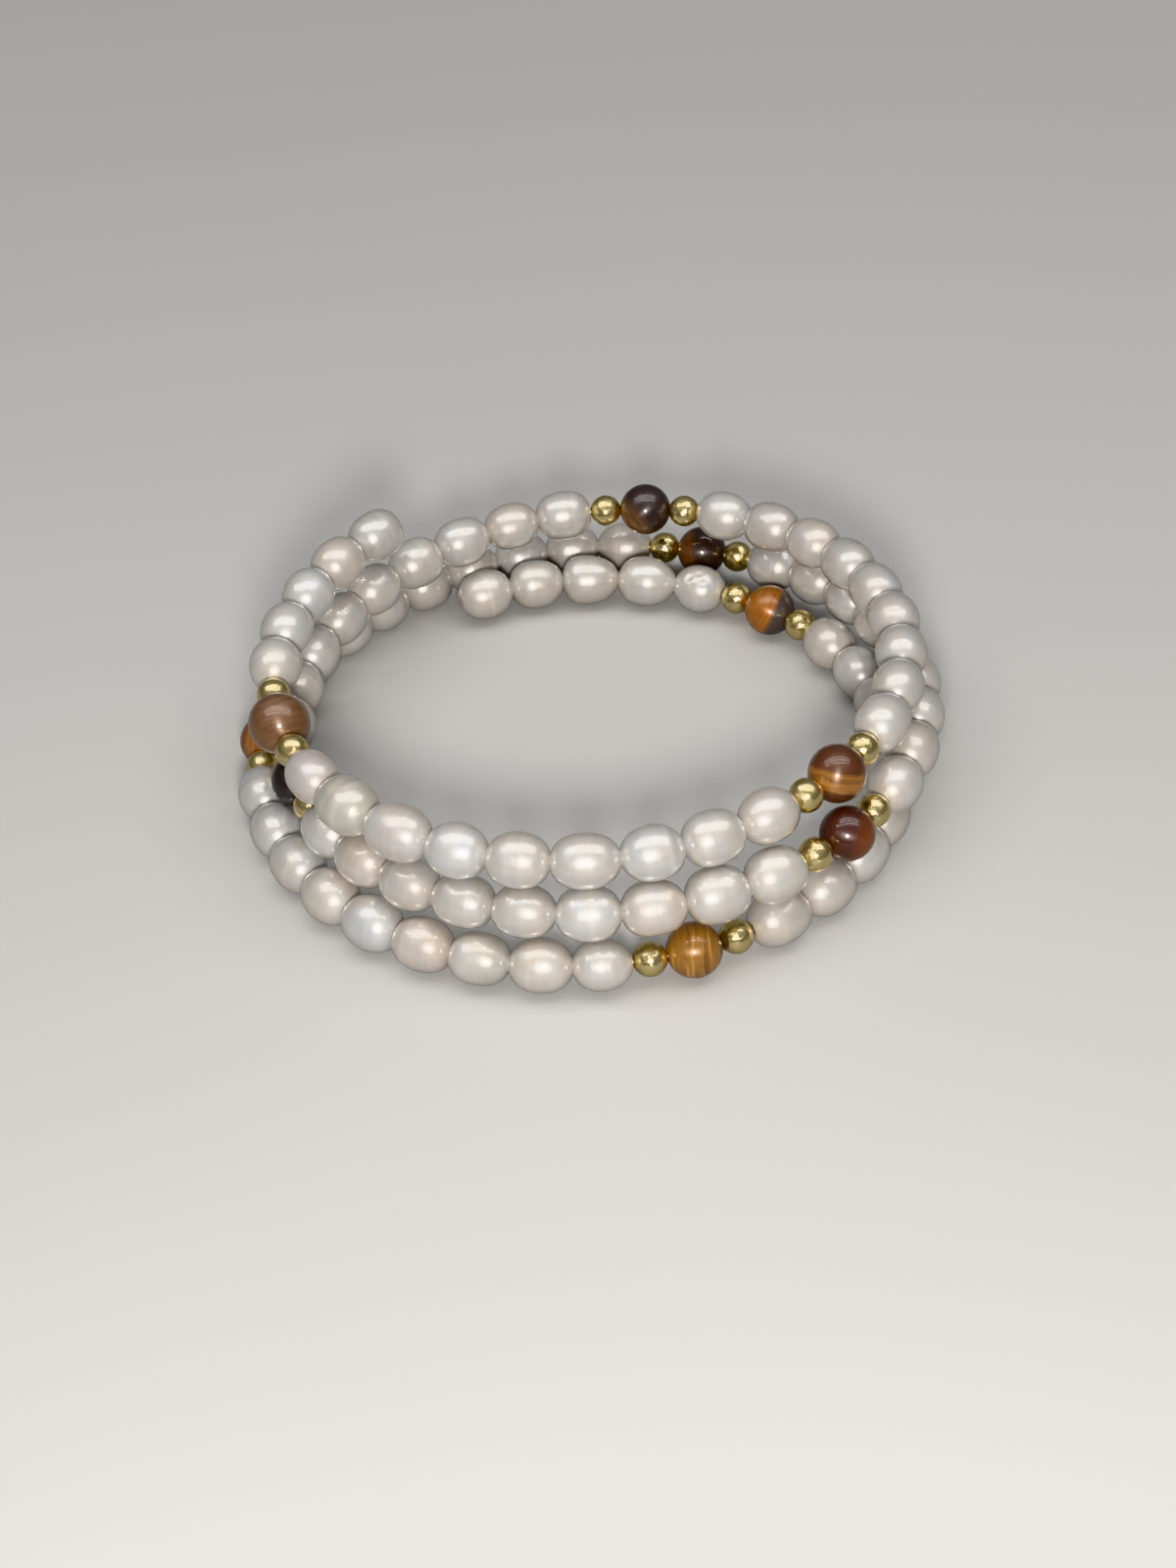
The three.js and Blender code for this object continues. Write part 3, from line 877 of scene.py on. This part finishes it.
def build_gold():
    """Pale gold metal. The colour deepens a little in slow patches, and the roughness is
    a polished value plus scuffs."""
    material, tree, shader = new_material("gold_plate")
    place = read_value(tree, "bead_place").outputs["Vector"]
    patches = add_node(tree, "ShaderNodeTexNoise", inputs={"Scale": 0.9, "Detail": 2.0})
    tree.links.new(place, patches.inputs["Vector"])
    colour = mix_colours(tree, "MIX", rescale(tree, patches.outputs["Fac"], 0.35, 0.65, 0, 1),
                         (0.88, 0.745, 0.42, 1), (0.79, 0.64, 0.31, 1))
    tree.links.new(colour, shader.inputs["Base Color"])
    worn = use_scuffs(tree, place, 0.09)
    tree.links.new(calculate(tree, "ADD", 0.12, worn.outputs["Gloss"]),
                   shader.inputs["Roughness"])
    dents = add_node(tree, "ShaderNodeTexNoise", inputs={"Scale": 2.2, "Detail": 3.0,
                                                         "Distortion": 0.8})
    tree.links.new(place, dents.inputs["Vector"])
    relief = calculate(tree, "SUBTRACT", dents.outputs["Fac"],
                       calculate(tree, "MULTIPLY", worn.outputs["Height"], 1.5))
    bump = add_node(tree, "ShaderNodeBump", inputs={"Strength": 0.8, "Distance": 0.07 * MM})
    tree.links.new(relief, bump.inputs["Height"])
    tree.links.new(bump.outputs[0], shader.inputs["Normal"])
    shader.inputs["Metallic"].default_value = 1.0
    return material


gold_plate = build_gold()

# %% Building the gold beads
GOLD_STEPS = 56
GOLD_RINGS = 30
DENT_DEPTH = 0.006  # of the radius
PATTERN_SHIFT = 6.0  # mm between two beads in the noise

for index, centre in enumerate(golds, 1):
    along, radius = ball_profile(GOLD_DIAMETER, GOLD_RINGS)
    angle = np.linspace(0, 2 * np.pi, GOLD_STEPS, endpoint=False)[None, :]
    phase = rng.uniform(0, 2 * np.pi, 3)
    dent = DENT_DEPTH * (np.sin(2 * angle + phase[0]) * np.cos(along[:, None] * 1.3 + phase[1])
                         + np.sin(5 * angle + along[:, None] * 2 + phase[2]) * 0.4)
    on_ball = (radius > HOLE + HOLE_ROUND)[:, None]
    own = round_points(radius[:, None] * (1 - np.abs(dent) * on_ball), along)
    points = place_straight(own, centre).reshape(-1, 3)
    part = dict(points=points, faces=[loop_faces(len(along), GOLD_STEPS)],
                values=dict(bead_place=own.reshape(-1, 3) + (0, 0, PATTERN_SHIFT * index)))
    make_piece(f"gold_ball_{index:02d}", f"gold_bead_{index:02d}", gold_plate, [part])

# %% [markdown]
# ## The wire
#
# The wire shows only as a glint in the gaps, but it carries everything. It is a profile
# carried along a path: one ring of points in each frame of the route, with a pole at each
# tip, inside the end pearls.

# %% Building the wire
WIRE_STEPS = 12
WIRE_RINGS = 700


def build_steel():
    """Bright drawn steel, with a faint colour change along the wire."""
    material, tree, shader = new_material("spring_steel")
    place = read_value(tree, "bead_place").outputs["Vector"]
    worn = use_scuffs(tree, place, 0.2)
    tree.links.new(calculate(tree, "ADD", 0.30, worn.outputs["Gloss"]),
                   shader.inputs["Roughness"])
    colour = mix_colours(tree, "MIX", worn.outputs["Gloss"], (0.66, 0.65, 0.63, 1),
                         (0.42, 0.40, 0.38, 1))
    tree.links.new(colour, shader.inputs["Base Color"])
    shader.inputs["Metallic"].default_value = 1.0
    return material


wire_along = np.linspace(WIRE_INSET, string_length - WIRE_INSET, WIRE_RINGS)
wire_origin, wire_axes = frames_at(wire_along)
angle = np.linspace(0, 2 * np.pi, WIRE_STEPS, endpoint=False)
ring = np.stack([np.cos(angle), 0 * angle, np.sin(angle)], -1) * WIRE_DIAMETER / 2
tube = (wire_origin[:, None] + np.einsum("sk,nkc->nsc", ring, wire_axes)).reshape(-1, 3)
tips = wire_origin[[0, -1]]
own = np.concatenate([np.tile(ring, (len(wire_along), 1)), np.zeros((2, 3))])
own[:-2, 1] = np.repeat(wire_along, WIRE_STEPS)
make_piece("spring_wire", "memory_wire", build_steel(), [dict(
    points=np.vstack([tube, tips]), faces=capped_faces(len(wire_along), WIRE_STEPS),
    values=dict(bead_place=own))])

# %% [markdown]
# ## The studio
#
# The floor is plain and pale. Pearls live from what they mirror, so the lamps matter more
# than their number suggests. The world is a soft dome of light, brightest nearly overhead,
# so that their upper halves glow and no lamp's edge shows. Three long tubes overhead draw
# the fine lines on each bead's shoulder, and one small round lamp just below the camera
# sets the bright spots. The view transform is meant for goods on a neutral ground: it
# shows colours as they are set, and only rolls off the brightest highlights, where the
# usual one greys whites and gold.

# %% Floor and world
FLOOR_HALF = 8.0  # metres
FLOOR_BOUNCE = 0.55  # how much of its paleness the floor throws back on the beads


def build_floor():
    """A flat square in matt pale grey, its colour varied by a very faint noise. To the
    beads it is darker than to the camera, as if dark cards stood just out of view, so
    that their lower halves keep their shading."""
    material, tree, shader = new_material("pale_floor")
    place = add_node(tree, "ShaderNodeTexCoord").outputs["Object"]
    noise = add_node(tree, "ShaderNodeTexNoise", inputs={"Scale": 6.0, "Detail": 4.0})
    tree.links.new(place, noise.inputs["Vector"])
    colour = mix_colours(tree, "MIX", noise.outputs["Fac"], (0.500, 0.491, 0.474, 1),
                         (0.528, 0.518, 0.500, 1))
    seen = add_node(tree, "ShaderNodeLightPath").outputs["Is Camera Ray"]
    dimmed = mix_colours(tree, "MULTIPLY", 1.0, colour, (FLOOR_BOUNCE,) * 3 + (1,))
    tree.links.new(mix_colours(tree, "MIX", seen, dimmed, colour), shader.inputs["Base Color"])
    shader.inputs["Roughness"].default_value = 0.75
    mesh = bpy.data.meshes.new("floor")
    corners = [(x * FLOOR_HALF, y * FLOOR_HALF, 0) for x, y in ((-1, -1), (1, -1), (1, 1), (-1, 1))]
    mesh.from_pydata(corners, [], [(0, 1, 2, 3)])
    mesh.materials.append(material)
    floor = bpy.data.objects.new("floor", mesh)
    bpy.context.collection.objects.link(floor)
    return floor


build_floor()
DOME_DIRECTION = (0.0, -0.20, 0.98)  # where the dome is brightest
DOME_GLOW = 0.26
DOME_BASE = 0.16


def build_dome():
    """World light: a base value, plus a glow that grows with the cosine between the
    direction looked in and the dome's brightest direction, to a power."""
    world = bpy.data.worlds.new("studio")
    world.use_nodes = True
    tree = world.node_tree
    looking = add_node(tree, "ShaderNodeTexCoord").outputs["Generated"]
    towards = add_node(tree, "ShaderNodeVectorMath", operation="DOT_PRODUCT")
    tree.links.new(looking, towards.inputs[0])
    towards.inputs[1].default_value = DOME_DIRECTION
    share = rescale(tree, towards.outputs["Value"], 0.15, 1.0, 0.0, 1.0)
    glow = calculate(tree, "MULTIPLY", calculate(tree, "POWER", share, 1.3), DOME_GLOW)
    background = tree.nodes["Background"]
    background.inputs["Color"].default_value = (0.985, 0.99, 1.0, 1)
    tree.links.new(calculate(tree, "ADD", glow, DOME_BASE), background.inputs["Strength"])
    return world


world = build_dome()
bpy.context.scene.world = world
bpy.context.scene.view_settings.view_transform = "Khronos PBR Neutral"

# %% Lamps
LAMP_AIM = (0, 0, 0.008)  # metres: a point inside the bracelet, near mid height


def add_lamp(name, place, size, power, colour=(1, 1, 1), shape="RECTANGLE"):
    """An area lamp at a place in metres that faces the bracelet. size is its width and
    height, or its diameter twice, in metres, and power is in watts."""
    data = bpy.data.lights.new(name, "AREA")
    data.shape = shape
    data.size, data.size_y = size
    data.energy = power
    data.color = colour
    lamp = bpy.data.objects.new(name, data)
    aim = (Vector(LAMP_AIM) - Vector(place)).to_track_quat("-Z", "Y")
    lamp.matrix_world = Matrix.Translation(Vector(place)) @ aim.to_matrix().to_4x4()
    lamp.visible_camera = False
    bpy.context.collection.objects.link(lamp)
    return lamp


TUBE_HEIGHT = 0.8  # metres, as the other sizes of the lamps
TUBE_SPACING = 0.17
TUBE_SIZE = (1.5, 0.016)
TUBE_POWER = 1.50  # watts
EYE_LAMP_REACH = 1.04  # its distance from the origin, as a share of the camera's
EYE_LAMP_DROP = 0.055  # below the camera
EYE_LAMP_SIZE = (0.062, 0.062)
EYE_LAMP_POWER = 1.06
EYE_LAMP_COLOUR = (1.0, 0.97, 0.94)

for number in (-1, 0, 1):
    place = (0.0, TUBE_SPACING * number, TUBE_HEIGHT)
    add_lamp(f"tube_{number + 2}", place, TUBE_SIZE, TUBE_POWER)
place = tuple(eye * MM * EYE_LAMP_REACH + down * EYE_LAMP_DROP)
add_lamp("eye_lamp", place, EYE_LAMP_SIZE, EYE_LAMP_POWER, EYE_LAMP_COLOUR, "DISK")
